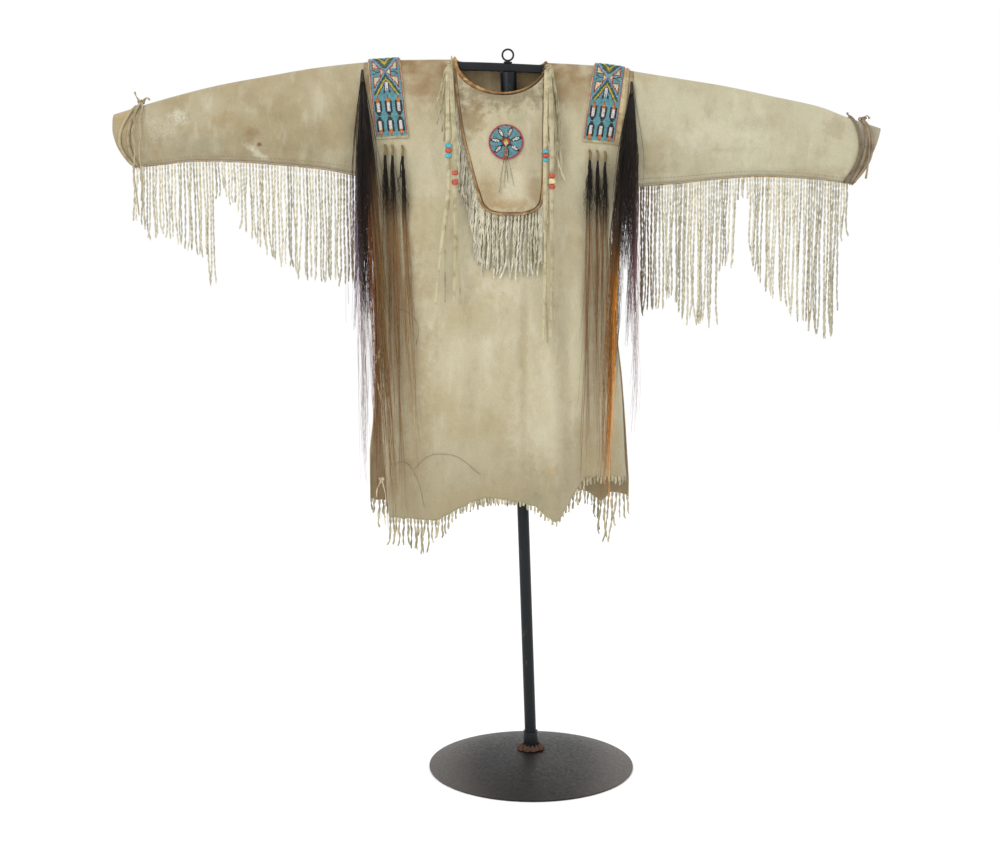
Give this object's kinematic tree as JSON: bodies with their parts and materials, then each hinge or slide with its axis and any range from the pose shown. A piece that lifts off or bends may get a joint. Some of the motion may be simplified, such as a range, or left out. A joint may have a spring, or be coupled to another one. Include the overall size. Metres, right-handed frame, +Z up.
{
  "type": "beaded war shirt on display stand",
  "caption": "Fringed hide war shirt with beaded shoulder strips, rosette bib and hair locks, hung by its shoulders and sleeves on a black metal T stand with a round foot.",
  "frame": {"origin": "centre of the stand's round underside, on the floor", "axes": "+X across the sleeves to the viewer's right, -Y out of the shirt's front, +Z up"},
  "size_m": [1.6064, 0.448, 1.5478],
  "materials": {
    "hide": "matt brain-tanned hide, greyish cream with tan stains",
    "hide_brown": "matt hide handled to a warm brown",
    "hide_fringe": "matt twisted hide thongs, pale cream",
    "hair": "dark brown to black horsehair with orange and purple dyed strands",
    "beadwork": "rows of glossy opaque seed beads on a turquoise ground",
    "bead_turquoise": "glossy opaque turquoise glass",
    "bead_red": "glossy opaque brick-red glass",
    "bead_cream": "glossy opaque cream glass",
    "stand_black": "satin black paint, worn brownish on the base",
    "stand_weld": "rough rusty weld bead"
  },
  "bodies": {
    "root": {"front": "hide", "back": "hide", "sleeve_left": "hide", "sleeve_right": "hide", "cuff_right": "hide", "bib": "hide", "neck_roll": "hide_brown", "bib_edging": "hide_brown", "strip_hide_left": "hide_brown", "strip_hide_right": "hide_brown", "fringe_sleeve_left": "hide_fringe", "fringe_sleeve_right": "hide_fringe", "fringe_bib": "hide_fringe", "fringe_hem_front": "hide_fringe", "fringe_hem_back": "hide_fringe", "neck_tassel_left": "hide_fringe", "neck_tassel_right": "hide_fringe", "rosette_pendant": "hide_fringe", "cuff_tie_left": "hide_fringe", "cuff_tie_right": "hide_fringe", "cuff_tie_end_long": "hide_fringe", "cuff_tie_end_short": "hide_fringe", "side_tie_end_upper": "hide_fringe", "side_knot_1": "hide_fringe", "side_knot_2": "hide_fringe", "side_knot_3": "hide_fringe", "hair_big_left": "hair", "hair_big_right": "hair", "hair_small_left_1": "hair", "hair_small_left_2": "hair", "hair_small_left_3": "hair", "hair_small_right_1": "hair", "hair_small_right_2": "hair", "hair_small_right_3": "hair", "strip_beads_left": "beadwork", "strip_beads_right": "beadwork", "rosette": "beadwork", "bead_left_turquoise_upper": "bead_turquoise", "bead_left_turquoise_lower": "bead_turquoise", "bead_right_turquoise_upper": "bead_turquoise", "bead_right_turquoise_lower": "bead_turquoise", "bead_left_red_middle": "bead_red", "bead_left_red_upper": "bead_red", "bead_left_red_lower": "bead_red", "bead_right_red_middle": "bead_red", "bead_right_red_upper": "bead_red", "bead_right_red_lower": "bead_red", "bead_right_cream_middle": "bead_cream", "stand_base": "stand_black", "stand_pole": "stand_black", "stand_collar": "stand_black", "stand_socket": "stand_black", "stand_crossbar": "stand_black", "stand_nut": "stand_black", "stand_ring": "stand_black", "stand_weld": "stand_weld"}
  },
  "joints": []
}
